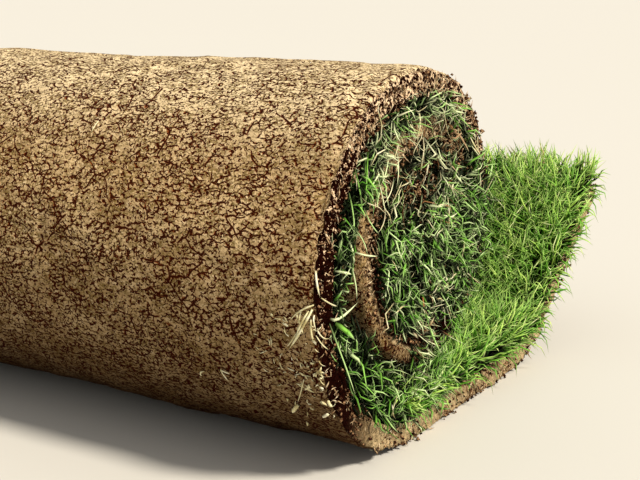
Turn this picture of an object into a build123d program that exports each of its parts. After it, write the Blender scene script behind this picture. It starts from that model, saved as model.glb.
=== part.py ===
"""Roll of turf, soil side out, with the outer end of the strip lying open behind the roll.

Turf is cut as one long strip: a mat of soil and roots with the grass standing on it. The strip is
wound up with the grass inside, so its section is a spiral. That section is drawn in the Y-Z plane
and runs the whole width of the strip, along X. Sizes are in millimetres, angles in degrees.

The origin is on the ground, in the middle of the level stretch that the strip rests on. +Y points
from the roll to its open end. Depth is measured into the turf from its soil side.

The spiral is a chain of half circles, joined at the top by short level runs. The climbing ones are
on the near side of the roll and the falling ones on its far side. Each falling one ends above the
turn below it by the soil and the standing grass, and each climbing one ends below the turn above it
by the soil and the pressed grass, so every radius follows from the height of the roll.
"""

import os
from math import cos, radians, sin
from typing import NamedTuple

from build123d import *

strip_width = 410.0  # cut width of the strip, which is the length of the roll
soil_thickness = 14.0  # soil and roots, as the turf cutter leaves them
grass_height = 30.0  # grass that stands on the soil, and holds each turn up at the foot
pressed_grass = 10.0  # grass pressed between two turns at the top of the roll
open_grass = 24.0  # height at which the blades close up on the open end, where they lean freely
grass_settle = 70.0  # way from under the second turn over which the grass settles to that height
grass_shoulder = 9.0  # rounding of the open grass along its edges, where the blades lean out
turn_clearance = 0.3  # between the tips of the grass and the next turn's soil

roll_height = 200.0  # from the ground to the top of the outer turn
level_on_top = 10.0  # level run between two half circles, which sets each turn in farther back
tightest_radius = 25.0  # the strip ends before it would be wound tighter than this
eye_radius = 7.0  # hollow left at the heart of the roll

tail_flat = 138.0  # level stretch on the ground, from the foot of the roll
tail_bend_radius = 82.0  # on the soil side
tail_angle = 38.6  # of the slope, from level
tail_slope = 119.0  # length of the slope

worn_edge = 3.0  # rounding of the soil side's cut edges

foot = -tail_flat / 2  # where the roll leaves the ground, along Y
bottom = 270  # angle at the lowest point of a circle
top = 90  # angle at its highest point


class HalfTurn(NamedTuple):
    """One half circle of the winding, on the soil side of the strip."""

    centre: tuple
    radius: float
    first_angle: int

    def edge(self, depth):
        """The half circle at a depth inside the turf, in the direction of the winding."""
        return CenterArc(self.centre, self.radius - depth, self.first_angle, -180)


def half_turns():
    """Half circles of the winding, from the foot of the roll inwards."""
    turns = []
    y = foot
    start_height = 0.0  # where the next half circle starts
    radius = roll_height / 2
    while radius > tightest_radius:
        climbs = len(turns) % 2 == 0
        rise = radius if climbs else -radius
        turns.append(HalfTurn((y, start_height + rise), radius, bottom if climbs else top))
        start_height += 2 * rise
        if climbs:
            y += level_on_top
            radius -= (soil_thickness + grass_height) / 2
        else:
            radius -= (soil_thickness + pressed_grass) / 2
    return turns


def wound_side(turns, depth):
    """Edges of the winding at a depth inside the turf, with the level runs on top."""
    edges = []
    for turn in turns:
        edge = turn.edge(depth)
        if edges and turn.first_angle == top:
            edges.append(Line(edges[-1] @ 1, edge @ 0))
        edges.append(edge)
    return edges


def tail_side(depth, level_end):
    """Edges of the open end at a depth, from its tip down to a point on the level stretch."""
    bend_centre = Vector(foot + tail_flat, tail_bend_radius)
    bend = CenterArc(bend_centre, tail_bend_radius - depth, bottom + tail_angle, -tail_angle)
    along_slope = Vector(cos(radians(tail_angle)), sin(radians(tail_angle)))
    slope = Line((bend @ 0) + along_slope * tail_slope, bend @ 0)
    level = Line(bend @ 1, (level_end, depth))
    return [slope, bend, level]


def across_strip(edges):
    """Solid of a section outline, across the whole width of the strip."""
    section = Face(Wire(edges))
    return extrude(Plane.YZ * section, amount=strip_width / 2, both=True)


def make_root_mat(turns):
    """Soil and roots: the strip itself, with the cut edges of its soil side worn round."""
    soil_side = tail_side(0, foot) + wound_side(turns, 0)
    grass_side = tail_side(soil_thickness, foot) + wound_side(turns, soil_thickness)
    tip = Line(soil_side[0] @ 0, grass_side[0] @ 0)
    inner_end = Line(soil_side[-1] @ 1, grass_side[-1] @ 1)
    mat = across_strip(soil_side + [inner_end] + grass_side + [tip])
    soil_line = Plane.YZ * Wire(soil_side)
    cut_edges = [edge for edge in mat.edges() if on_outline(edge, soil_line)]
    return fillet(cut_edges, worn_edge)


def on_outline(edge, outline):
    """Whether an edge lies on an outline, at a side of the strip or at the tip of its open end."""
    middle = edge @ 0.5
    in_section = Vector(0, middle.Y, middle.Z)
    on_line = outline.distance_to(in_section) < turn_clearance / 2
    at_tip = (in_section - (outline @ 0)).length < turn_clearance / 2
    at_side = abs(abs(middle.X) - strip_width / 2) < turn_clearance / 2
    return on_line and (at_side or at_tip)


def make_sward(turns):
    """Grass: it stands on the mat all along, fills the space between the turns and the heart."""
    root_side = tail_side(soil_thickness, foot) + wound_side(turns, soil_thickness)
    second_turn = turns[2:]
    under_next_turn = wound_side(second_turn, -turn_clearance)
    settled = second_turn[0].centre[0] + grass_settle
    open_side = tail_side(soil_thickness + open_grass, settled)
    settling = Line(open_side[-1] @ 1, under_next_turn[0] @ 0)
    tip = Line(root_side[0] @ 0, open_side[0] @ 0)
    inner_end = Line(root_side[-1] @ 1, under_next_turn[-1] @ 1)
    block = across_strip(root_side + [inner_end] + under_next_turn + open_side + [settling, tip])
    open_top = Plane.YZ * Wire(open_side + [settling])
    shoulders = [edge for edge in block.edges() if on_outline(edge, open_top)]
    return fillet(shoulders, grass_shoulder) - eye(turns)


def eye(turns):
    """Hollow through the heart, midway between the last two half circles."""
    outer, inner = turns[-2], turns[-1]
    towards_outer = 1 if outer.first_angle == top else -1
    y = (outer.centre[0] + inner.centre[0] + towards_outer * (outer.radius - inner.radius)) / 2
    z = (outer.centre[1] + inner.centre[1]) / 2
    return Plane.YZ * Location((y, z)) * Cylinder(eye_radius, strip_width)


def main():
    """Builds each node and writes it to its own file."""
    os.makedirs("parts", exist_ok=True)
    turns = half_turns()
    nodes = {"root_mat": make_root_mat(turns), "sward": make_sward(turns)}
    for name, solid in nodes.items():
        export_step(solid, f"parts/{name}.step")


main()
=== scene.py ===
"""Dresses the roll of turf: rooted soil outside, grass inside, one strip wound up and left open.

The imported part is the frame. Its two plain solids are replaced by the pieces made here:

* RootMat: the soil and roots, one closed shell that follows the strip from its tip to its heart,
  with lumps, cracks, pits and crumbled edges.
* Sward: the bed of thatch on the mat, and the blades that stand on it, on the open end and on both
  cut ends of the roll.
* Litter: roots, crumbs and straw on both cut ends, and at the near one the larger leaves, the torn
  runners and the curls of root below them.

Every piece is worked out in strip coordinates: s along the strip, from the foot of the roll
inwards and negative on the open end, x across it, and depth into the turf from its soil side.
Lengths are in metres unless a name says otherwise.
"""

from __future__ import annotations

import logging
import math
from dataclasses import dataclass
from enum import Enum

import bpy
import numpy as np
from mathutils import Matrix


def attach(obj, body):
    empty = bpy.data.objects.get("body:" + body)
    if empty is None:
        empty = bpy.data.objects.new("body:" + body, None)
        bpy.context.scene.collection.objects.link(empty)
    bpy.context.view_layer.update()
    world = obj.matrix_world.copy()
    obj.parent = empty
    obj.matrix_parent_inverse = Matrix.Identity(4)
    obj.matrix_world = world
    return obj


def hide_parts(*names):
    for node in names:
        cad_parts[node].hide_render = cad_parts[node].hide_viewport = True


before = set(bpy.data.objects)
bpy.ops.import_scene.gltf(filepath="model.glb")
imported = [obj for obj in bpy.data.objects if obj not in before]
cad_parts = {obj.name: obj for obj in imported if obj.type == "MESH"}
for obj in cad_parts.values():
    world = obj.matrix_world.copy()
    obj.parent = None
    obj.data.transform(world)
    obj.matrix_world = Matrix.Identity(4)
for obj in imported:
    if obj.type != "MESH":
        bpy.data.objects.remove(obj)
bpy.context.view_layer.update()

MM = 0.001
BODY = "root"
NO_FACES = np.empty((0, 4), int)

log = logging.getLogger("turf")


# Noise and mesh helpers


def smooth_noise(u: np.ndarray, v: np.ndarray, seed: int) -> np.ndarray:
    """Value noise: random heights on a square lattice, blended by the curve 3t^2 - 2t^3.

    Args:
        u: First coordinate, in cells of the lattice.
        v: Second coordinate, in cells of the lattice.
        seed: Seed of the lattice's heights.

    Returns:
        Heights between -1 and 1, of the shape of u and v broadcast together.
    """
    size = 256
    table = np.random.default_rng(seed).uniform(-1.0, 1.0, (size, size))
    u, v = np.broadcast_arrays(u, v)
    cell_u = np.floor(u).astype(int)
    cell_v = np.floor(v).astype(int)
    part_u = smooth_step(u - cell_u, 0.0, 1.0)
    part_v = smooth_step(v - cell_v, 0.0, 1.0)

    def row(step: int) -> np.ndarray:
        """Heights blended along u, on this lattice line or the next one."""
        line = (cell_v + step) % size
        return table[cell_u % size, line] * (1 - part_u) + table[(cell_u + 1) % size, line] * part_u

    return row(0) * (1 - part_v) + row(1) * part_v


def smooth_step(value: np.ndarray, low: float, high: float) -> np.ndarray:
    """0 below low, 1 above high, and the curve 3t^2 - 2t^3 between them."""
    t = np.clip((value - low) / (high - low), 0.0, 1.0)
    return t * t * (3 - 2 * t)


def plateau(s: np.ndarray, low: float, high: float, fade: float) -> np.ndarray:
    """1 between two places, falling smoothly to 0 over a fade beyond them."""
    return smooth_step(s, low - fade, low) * (1 - smooth_step(s, high, high + fade))


def unit(vectors: np.ndarray) -> np.ndarray:
    """Each row divided by its length."""
    return vectors / np.maximum(np.linalg.norm(vectors, axis=-1, keepdims=True), 1e-12)


def dot(first: np.ndarray, second: np.ndarray) -> np.ndarray:
    """Scalar product of each pair of rows, kept as a column."""
    return (first * second).sum(-1, keepdims=True)


def square_to(axis: np.ndarray, pull: np.ndarray) -> np.ndarray:
    """Unit vectors of what is left of each pull once its part along the axis is taken away."""
    return unit(pull - dot(pull, axis) * axis)


def turned_from(first: np.ndarray, second: np.ndarray, angle: np.ndarray) -> np.ndarray:
    """Each row of the first axis turned by its angle towards the second: cos and sin of them."""
    return np.cos(angle)[:, None] * first + np.sin(angle)[:, None] * second


def tube_faces(rings: int, size: int) -> tuple[np.ndarray, np.ndarray]:
    """Numbers the points of a tube and joins each ring to the next.

    Args:
        rings: How many rings.
        size: Points in a ring, which closes on itself.

    Returns:
        Point numbers, rings by size, and the four-sided faces.
    """
    number = np.arange(rings * size).reshape(rings, size)
    following = np.roll(number, -1, axis=1)
    return number, np.stack([number[:-1], following[:-1], following[1:], number[1:]], -1).reshape(-1, 4)


def make_mesh(
    name: str, points: np.ndarray, quads: np.ndarray = NO_FACES, triangles: np.ndarray = NO_FACES
) -> bpy.types.Object:
    """Makes a smooth-shaded mesh object at the origin from whole arrays.

    Args:
        name: Name of the object.
        points: Vertex positions, n by 3.
        quads: Vertex numbers of the four-sided faces, m by 4.
        triangles: Vertex numbers of the three-sided faces, k by 3.

    Returns:
        The object, linked to the scene.
    """
    mesh = bpy.data.meshes.new(name)
    mesh.vertices.add(len(points))
    mesh.vertices.foreach_set("co", points.astype(np.float32).ravel())
    corners = np.concatenate([quads.ravel(), triangles.ravel()]).astype(np.int32)
    mesh.loops.add(len(corners))
    mesh.loops.foreach_set("vertex_index", corners)
    starts = np.arange(len(quads)) * 4
    starts = np.concatenate([starts, len(quads) * 4 + np.arange(len(triangles)) * 3]).astype(np.int32)
    mesh.polygons.add(len(starts))
    mesh.polygons.foreach_set("loop_start", starts)
    mesh.polygons.foreach_set("use_smooth", np.ones(len(starts), dtype=bool))
    mesh.update(calc_edges=True)
    mesh.validate()
    thing = bpy.data.objects.new(name, mesh)
    bpy.context.scene.collection.objects.link(thing)
    return thing


def set_attributes(thing: bpy.types.Object, **arrays: np.ndarray) -> None:
    """Stores numbers or vectors, one per vertex, for the material to read.

    Args:
        thing: The piece.
        **arrays: Values of each attribute, by its name.
    """
    for name, values in arrays.items():
        kind, key = ("FLOAT_VECTOR", "vector") if values.ndim == 2 else ("FLOAT", "value")
        attribute = thing.data.attributes.new(name, kind, "POINT")
        attribute.data.foreach_set(key, values.astype(np.float32).ravel())


def put_on_part(thing: bpy.types.Object, material: bpy.types.Material, slot: str, *nodes: str) -> None:
    """Dresses a piece and ties it to the part.

    Args:
        thing: The piece.
        material: Its finish.
        slot: The record's material slot that it belongs to; not used.
        *nodes: Plain solids that it stands for.
    """
    thing.data.materials.append(material)
    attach(thing, BODY)
    if nodes:
        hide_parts(*nodes)
    triangles = sum(len(polygon.vertices) - 2 for polygon in thing.data.polygons)
    log.info("%s: %d triangles", thing.name, triangles)


# Finishes


def linear(colour: str) -> tuple[float, float, float, float]:
    """Turns an sRGB hex colour into Blender's linear one.

    Args:
        colour: Six hex digits, such as "c8a878".

    Returns:
        Red, green, blue and an alpha of 1.
    """
    parts = [int(colour[i : i + 2], 16) / 255 for i in (0, 2, 4)]
    curve = [p / 12.92 if p <= 0.04045 else ((p + 0.055) / 1.055) ** 2.4 for p in parts]
    return curve[0], curve[1], curve[2], 1.0


class Finish:
    """A material in the making: its principled shader and the nodes that feed it."""

    def __init__(self, name: str) -> None:
        """Makes the material with an empty principled shader.

        Args:
            name: Name of the material.
        """
        self.material = bpy.data.materials.new(name)
        self.material.use_nodes = True
        self.tree = self.material.node_tree
        self.shader = next(node for node in self.tree.nodes if node.type == "BSDF_PRINCIPLED")

    def add_node(
        self,
        kind: str,
        links: dict | None = None,
        output: int | str = 0,
        stops: tuple[tuple[float, str], ...] = (),
        **settings,
    ) -> bpy.types.NodeSocket:
        """Adds a node with its settings and its links.

        Args:
            kind: Shader node type, such as "Math".
            links: Input name or number to a socket that feeds it, or to a plain value.
            output: Name or number of the output that is wanted.
            stops: Position and hex colour of each stop, for a node with a colour ramp.
            **settings: Properties of the node itself, such as operation.

        Returns:
            That output of the new node.
        """
        node = self.tree.nodes.new("ShaderNode" + kind)
        for key, value in settings.items():
            setattr(node, key, value)
        for key, value in (links or {}).items():
            if isinstance(value, bpy.types.NodeSocket):
                self.tree.links.new(value, node.inputs[key])
            else:
                node.inputs[key].default_value = value
        for number, (position, colour) in enumerate(stops):
            if number >= len(node.color_ramp.elements):
                node.color_ramp.elements.new(1.0)
            node.color_ramp.elements[number].position = position
            node.color_ramp.elements[number].color = linear(colour)
        return node.outputs[output]

    def mixed(
        self,
        first: bpy.types.NodeSocket,
        second: bpy.types.NodeSocket | str,
        drive: tuple[bpy.types.NodeSocket, float, float, float],
    ) -> bpy.types.NodeSocket:
        """Blends a colour into another.

        Args:
            first: Colour where the drive is low.
            second: Colour where it is high, a socket or a hex value.
            drive: A value, where it counts as 0 and as 1, and the most that is blended in.

        Returns:
            The blended colour.
        """
        value, low, high, most = drive
        ends = {"Value": value, "From Min": low, "From Max": high, "To Max": most}
        factor = self.add_node("MapRange", ends, interpolation_type="SMOOTHSTEP")
        second = linear(second) if isinstance(second, str) else second
        return self.add_node("Mix", {0: factor, 6: first, 7: second}, 2, data_type="RGBA")

    def complete(
        self,
        colour: bpy.types.NodeSocket,
        roughness: float,
        gloss: float,
        relief: bpy.types.NodeSocket | None = None,
        relief_depth: float = 0.0,
    ) -> bpy.types.Material:
        """Feeds the shader.

        Args:
            colour: Its colour.
            roughness: Its roughness.
            gloss: Its specular level.
            relief: Height of the bump, if it has one.
            relief_depth: How deep a height of 1 is.

        Returns:
            The material.
        """
        self.tree.links.new(colour, self.shader.inputs["Base Color"])
        self.shader.inputs["Roughness"].default_value = roughness
        self.shader.inputs["Specular IOR Level"].default_value = gloss
        if relief is not None:
            bump = self.add_node("Bump", {"Height": relief, "Strength": 0.9, "Distance": relief_depth})
            self.tree.links.new(bump, self.shader.inputs["Normal"])
        return self.material


@dataclass(frozen=True)
class Marks:
    """Short dark lines on the soil: sizes in millimetres, and how few of them stay.

    They are the walls between cells, half_width to each side, broken up by a noise with waves of
    the size breaks, and they stay where that noise is above keep.
    """

    cell: float
    half_width: float
    breaks: float
    keep: float


@dataclass(frozen=True)
class RootedSoil:
    """Moist loam cut under the roots and dried pale on its skin, so matt, and finely cracked.

    The skin is tan and covered in short dark crevices. The cut through it, at the sides of the
    strip, is torn and dark red-brown, as wet loam is inside.
    """

    name: str = "loam_sliced_and_dried"
    sunlit: str = "f6deb2"
    pale: str = "e3c492"
    middle: str = "c6a678"
    deep: str = "ac8e60"
    olive: str = "6f5824"
    rust: str = "8a3400"
    crevice: str = "240000"
    painted_low_shade: str = "321c0a"
    torn_dark: str = "1a0401"
    torn_middle: str = "6a3c26"
    torn_pale: str = "f0d2ac"
    grain_mm: float = 1.5
    patch_mm: float = 34.0
    torn_mm: float = 2.4
    crowding_mm: float = 22.0
    thinned_where_smooth: float = 0.05
    thinned_on_top: float = 0.06
    crowding_share: float = 0.20
    long_marks: Marks = Marks(cell=2.8, half_width=0.22, breaks=2.2, keep=0.492)
    short_marks: Marks = Marks(cell=2.1, half_width=0.19, breaks=1.7, keep=0.52)
    cracks: Marks = Marks(cell=17.0, half_width=0.30, breaks=14.0, keep=0.57)
    creases: Marks = Marks(cell=1.8, half_width=0.26, breaks=3.0, keep=0.49)
    shade_line_height: float = 150 * MM
    top_height: float = 200 * MM
    roughness: float = 0.95
    gloss: float = 0.02
    relief_depth: float = 1.2 * MM

    def make(self) -> bpy.types.Material:
        """Builds the material.

        The skin is painted paler on top, as painted light, and darker towards the ground, as painted shade.
        Over it lie short crevices with rusty lips, shallower olive creases, and a few long cracks.

        Returns:
            The material.
        """
        finish = Finish(self.name)
        add, mixed = finish.add_node, finish.mixed
        place = add("TexCoord", output="Object")
        height = add("SeparateXYZ", {0: place}, "Z")
        unrolled = add("Attribute", output="Vector", attribute_name="unrolled")
        smooth, cut, sliced = (
            add("Attribute", output="Fac", attribute_name=name) for name in ("smooth", "cut", "sliced")
        )
        bent = self.bent(finish, unrolled, wave_mm=2.0, reach_mm=2.5)
        streaked = add("Mapping", {"Vector": bent, "Scale": (0.50, 1.0, 1.0)}, vector_type="POINT")

        # Marks are fewer where the skin is smooth, and on top of the roll
        crowding = add("TexNoise", {"Vector": unrolled, "Scale": 1 / (self.crowding_mm * MM), "Detail": 2.0})
        on_top = {"Value": height, "From Min": self.top_height - 20 * MM, "From Max": self.top_height}
        on_top = add("MapRange", on_top)
        for where, less in ((smooth, self.thinned_where_smooth), (on_top, self.thinned_on_top)):
            crowding = add("Math", {0: where, 1: -less, 2: crowding}, operation="MULTIPLY_ADD")
        marks = self.drawn(finish, streaked, self.long_marks, crowding)
        short_marks = self.drawn(finish, bent, self.short_marks, crowding)
        wandering = self.bent(finish, unrolled, wave_mm=9.0, reach_mm=6.0)
        cracks = self.drawn(finish, wandering, self.cracks, crowding)
        creases = self.drawn(finish, streaked, self.creases, crowding)
        marks = add("Math", {0: marks, 1: short_marks}, operation="MAXIMUM")
        marks = add("Math", {0: marks, 1: cracks}, operation="MAXIMUM")

        patches = {"Vector": place, "Scale": 1 / (self.patch_mm * MM), "Detail": 6.0, "Roughness": 0.6}
        grain = {"Vector": streaked, "Scale": 1 / (self.grain_mm * MM), "Detail": 2.0, "Roughness": 0.6}
        lumps = {"Vector": place, "Scale": 1 / (self.torn_mm * MM), "Detail": 3.0, "Roughness": 0.7}
        patches, grain, lumps = (add("TexNoise", links) for links in (patches, grain, lumps))
        tans = ((0.33, self.deep), (0.5, self.middle), (0.66, self.pale))
        skin = add("ValToRGB", {"Fac": patches}, stops=tans)
        # Painted light: the skin pales towards the top of the roll
        skin = mixed(skin, self.sunlit, (height, self.shade_line_height, self.top_height, 0.95))
        # Painted highlights: cream specks in the sunlit colour where the grain is high
        skin = mixed(skin, self.sunlit, (grain, 0.52, 0.68, 0.50))
        skin = mixed(skin, self.olive, (grain, 0.52, 0.32, 0.55))
        skin = mixed(skin, self.olive, (creases, 0.0, 1.0, 0.75))
        clean = mixed(skin, self.crevice, (cracks, 0.42, 0.78, 0.9))
        # Painted light: sliced faces are lifted towards the sunlit colour
        clean = mixed(clean, self.sunlit, (sliced, 0.0, 1.0, 0.35))
        skin = mixed(skin, self.rust, (marks, 0.0, 0.4, 0.85))
        # Painted shade: the skin darkens towards the ground
        skin = mixed(skin, self.painted_low_shade, (height, self.shade_line_height, 0.0, 0.93))
        skin = mixed(skin, self.crevice, (marks, 0.40, 0.80, 0.92))

        # What is torn is wet and dark inside, paler higher up, and clean where it is sliced
        dried = add("Math", {0: height, 1: 1.5, 2: lumps}, operation="MULTIPLY_ADD")
        browns = ((0.763, self.torn_dark), (0.788, self.torn_middle), (0.813, self.torn_pale))
        torn = add("ValToRGB", {"Fac": dried}, stops=browns)
        torn = mixed(torn, clean, (sliced, 0.0, 1.0, 0.8))
        colour = mixed(skin, torn, (cut, 0.15, 0.75, 1.0))
        relief = add("Math", {0: marks, 1: -1.0, 2: grain}, operation="MULTIPLY_ADD")
        relief = add("Math", {0: cut, 1: lumps, 2: relief}, operation="MULTIPLY_ADD")
        return finish.complete(colour, self.roughness, self.gloss, relief, self.relief_depth)

    @staticmethod
    def bent(
        finish: Finish, place: bpy.types.NodeSocket, wave_mm: float, reach_mm: float
    ) -> bpy.types.NodeSocket:
        """Bends coordinates by a noise, so that what is drawn on them wanders.

        Args:
            finish: The material in the making.
            place: Coordinates.
            wave_mm: Size of the noise's waves.
            reach_mm: How far the noise moves a point from one extreme to the other.

        Returns:
            The bent coordinates.
        """
        waves = {"Vector": place, "Scale": 1 / (wave_mm * MM), "Detail": 1.0}
        links = {0: finish.add_node("TexNoise", waves, "Color"), 1: (reach_mm * MM,) * 3, 2: place}
        return finish.add_node("VectorMath", links, operation="MULTIPLY_ADD")

    def drawn(
        self, finish: Finish, place: bpy.types.NodeSocket, marks: Marks, crowding: bpy.types.NodeSocket
    ) -> bpy.types.NodeSocket:
        """Draws marks of one kind.

        Args:
            finish: The material in the making.
            place: Coordinates.
            marks: Their sizes.
            crowding: Noise that lets more marks stay where it is high.

        Returns:
            1 along the middle of a mark, falling to 0 beside it.
        """
        add = finish.add_node
        cells = {"Vector": place, "Scale": 1 / (marks.cell * MM)}
        wall = add("TexVoronoi", cells, "Distance", feature="DISTANCE_TO_EDGE", voronoi_dimensions="2D")
        edge = marks.half_width / marks.cell
        line = add("MapRange", {"Value": wall, "From Min": edge * 2.0, "From Max": edge * 0.5})
        kept = add("TexNoise", {"Vector": place, "Scale": 1 / (marks.breaks * MM), "Detail": 1.0})
        kept = add("Math", {0: crowding, 1: self.crowding_share, 2: kept}, operation="MULTIPLY_ADD")

        # Half the share is what the crowding adds on average
        low = marks.keep + self.crowding_share / 2
        fade = 0.03
        kept = add("MapRange", {"Value": kept, "From Min": low, "From Max": low + fade})
        return add("Math", {0: line, 1: kept}, operation="MULTIPLY")


@dataclass(frozen=True)
class GrassBlade:
    """Ryegrass leaf: waxy, so a soft gloss, and thin, so pale where it is young or dry."""

    name: str = "ryegrass_leaf"
    painted_base_shade: str = "1d240c"
    deep: str = "46801e"
    fresh: str = "8ecc52"
    pale: str = "e8f6c0"
    straw: str = "f2eec6"
    brown: str = "9a683e"
    tip: str = "eef4c8"
    painted_deep_shade: str = "060c02"
    roughness: float = 0.5
    gloss: float = 0.08

    def make(self) -> bpy.types.Material:
        """Builds the material.

        The colour runs along the blade from painted shade at its base to its pale tip. The blade's own
        number picks it from deep green to pale green, and the highest numbers are dead straw. What lies
        deep among other blades is painted nearly black, as painted shade.

        Returns:
            The material.
        """
        finish = Finish(self.name)
        along, tint, open_air = (
            finish.add_node("Attribute", output="Fac", attribute_name=name)
            for name in ("along", "tint", "open_air")
        )
        positions = (0.0, 0.32, 0.62, 0.84, 1.0)
        greens = tuple(zip(positions, (self.deep, self.fresh, self.pale, self.straw, self.brown)))
        colour = finish.add_node("ValToRGB", {"Fac": tint}, stops=greens)
        # Painted shade at the base of each blade
        colour = finish.mixed(colour, self.painted_base_shade, (along, 0.40, 0.0, 0.85))
        colour = finish.mixed(colour, self.tip, (along, 0.5, 1.0, 0.45))
        # Painted shade where a blade lies deep among others
        colour = finish.mixed(colour, self.painted_deep_shade, (open_air, 0.85, 0.28, 0.985))
        return finish.complete(colour, self.roughness, self.gloss)


@dataclass(frozen=True)
class MottledFinish:
    """A matt organic material whose colour drifts between three tones over a real distance."""

    name: str
    dark: str
    middle: str
    light: str
    grain_mm: float
    roughness: float = 0.9
    bump_mm: float = 0.8
    gloss: float = 0.05

    def make(self) -> bpy.types.Material:
        """Builds the material from one noise that drives both the colour and the bump.

        Returns:
            The material.
        """
        finish = Finish(self.name)
        place = finish.add_node("TexCoord", output="Object")
        waves = {"Vector": place, "Scale": 1 / (self.grain_mm * MM), "Detail": 5.0, "Roughness": 0.65}
        noise = finish.add_node("TexNoise", waves)
        tones = ((0.34, self.dark), (0.5, self.middle), (0.66, self.light))
        colour = finish.add_node("ValToRGB", {"Fac": noise}, stops=tones)
        return finish.complete(colour, self.roughness, self.gloss, noise, self.bump_mm * MM)


# The strip


@dataclass
class WoundStrip:
    """The line that the soil side follows, made of straight runs and circular arcs."""

    width: float = 410 * MM
    soil: float = 14 * MM
    grass: float = 30 * MM
    pressed_grass: float = 10 * MM
    roll_height: float = 200 * MM
    level_on_top: float = 10 * MM
    tightest_radius: float = 25 * MM
    tail_flat: float = 138 * MM
    tail_bend_radius: float = 82 * MM
    tail_angle: float = math.radians(38.6)
    tail_slope: float = 119 * MM

    def __post_init__(self) -> None:
        """Lists the runs, each a length and a curvature, from the tip to the heart."""
        bend = self.tail_bend_radius * self.tail_angle
        self.runs: list[tuple[float, float]] = [
            (self.tail_slope, 0.0),
            (bend, -1 / self.tail_bend_radius),
            (self.tail_flat, 0.0),
        ]
        self.foot_run = len(self.runs)
        self.tail = self.tail_slope + bend + self.tail_flat
        self.half = self.width / 2
        radius = self.roll_height / 2
        climbs = True
        half_turns = []
        reached = 0.0
        while radius > self.tightest_radius:
            half_turns.append(reached)
            self.runs.append((math.pi * radius, -1 / radius))
            reached += math.pi * radius
            if climbs:
                self.runs.append((self.level_on_top, 0.0))
                reached += self.level_on_top
            radius -= (self.soil + (self.grass if climbs else self.pressed_grass)) / 2
            climbs = not climbs
        if not climbs:
            self.runs.pop()
            reached -= self.level_on_top
        self.wound = reached

        # Where the strip turns down behind, and where its second turn and its inner turns start
        self.far_side, self.second_turn, self.inner_turns = half_turns[1:4]
        self.starts = self._starts()

    def _starts(self) -> np.ndarray:
        """Chains the runs from the tip on, and puts the foot of the roll on the ground.

        Returns:
            Where each run starts: s, y, z and heading.
        """
        rows = []
        s = -self.tail
        heading = math.pi + self.tail_angle
        y = 0.0
        z = 0.0
        for length, curvature in self.runs:
            rows.append((s, y, z, heading))
            if curvature:
                turned = heading + curvature * length
                y += (math.sin(turned) - math.sin(heading)) / curvature
                z -= (math.cos(turned) - math.cos(heading)) / curvature
                heading = turned
            else:
                y += length * math.cos(heading)
                z += length * math.sin(heading)
            s += length
        starts = np.array(rows)
        starts[:, 1] += -self.tail_flat / 2 - starts[self.foot_run, 1]
        starts[:, 2] -= starts[self.foot_run, 2]
        return starts

    def on_second_turn(self, s: np.ndarray) -> np.ndarray:
        """Whether places along the strip lie on the near side of the second turn."""
        return (s > self.second_turn) & (s < self.inner_turns)

    def line(self, s: np.ndarray) -> tuple[np.ndarray, np.ndarray, np.ndarray]:
        """Follows the strip: on a run, the heading turns by the curvature times the way gone.

        Args:
            s: Places along the strip.

        Returns:
            Points, headings as unit vectors, and unit vectors towards the grass, each n by 2 (y, z).
        """
        run = np.clip(np.searchsorted(self.starts[:, 0], s, side="right") - 1, 0, len(self.runs) - 1)
        start_s, y, z, heading = self.starts[run].T
        curvature = np.array([c for _, c in self.runs])[run]
        gone = s - start_s
        turned = heading + curvature * gone
        safe = np.where(curvature == 0, 1.0, curvature)
        dy = np.where(curvature == 0, gone * np.cos(heading), (np.sin(turned) - np.sin(heading)) / safe)
        dz = np.where(curvature == 0, gone * np.sin(heading), (np.cos(heading) - np.cos(turned)) / safe)
        points = np.stack([y + dy, z + dz], -1)
        ahead = np.stack([np.cos(turned), np.sin(turned)], -1)
        inward = np.stack([np.sin(turned), -np.cos(turned)], -1)
        return points, ahead, inward

    def axes(self, s: np.ndarray) -> tuple[np.ndarray, np.ndarray, np.ndarray]:
        """Directions at places along the strip.

        Args:
            s: Places along the strip.

        Returns:
            Unit vectors across the strip, along it and towards the grass, each n by 3.
        """
        _, ahead, inward = self.line(s)
        zero = np.zeros((len(s), 1))
        across = np.tile(np.array([[1.0, 0.0, 0.0]]), (len(s), 1))
        return across, np.concatenate([zero, ahead], 1), np.concatenate([zero, inward], 1)

    def place(self, s: np.ndarray, x: np.ndarray, depth: np.ndarray) -> np.ndarray:
        """Turns strip coordinates into points of the part.

        Args:
            s: Along the strip.
            x: Across the strip.
            depth: Into the turf from its soil side.

        Returns:
            Points, with one more axis of 3 than the arguments broadcast together.
        """
        s, x, depth = np.broadcast_arrays(s, x, depth)
        points, _, inward = self.line(s.ravel())
        flat = points + inward * depth.ravel()[:, None]
        return np.concatenate([x.reshape(-1, 1), flat], -1).reshape(*s.shape, 3)

    def gap(self, s: np.ndarray) -> np.ndarray:
        """Room for grass over the mat: up to the soil side of the next turn, or the blades' height.

        Args:
            s: Places along the strip.

        Returns:
            The room at each place, measured from the grass side of the mat.
        """
        sample_step = 3 * MM
        target_count = 1600
        straight_above = 1.2 * MM
        beyond_own_soil = self.soil + 2 * MM
        samples = np.arange(-self.tail, self.wound, sample_step)
        points, ahead, inward = self.line(samples)
        others, _, _ = self.line(np.linspace(-self.tail, self.wound, target_count))
        reach = others[None, :, :] - points[:, None, :]
        sideways = np.abs(np.einsum("ijk,ik->ij", reach, ahead))
        forward = np.einsum("ijk,ik->ij", reach, inward)
        hit = (sideways < straight_above) & (forward > beyond_own_soil)
        room = np.where(hit, forward, np.inf).min(1) - self.soil
        return np.interp(s, samples, np.minimum(room, self.grass))


# Soil and roots


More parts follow.
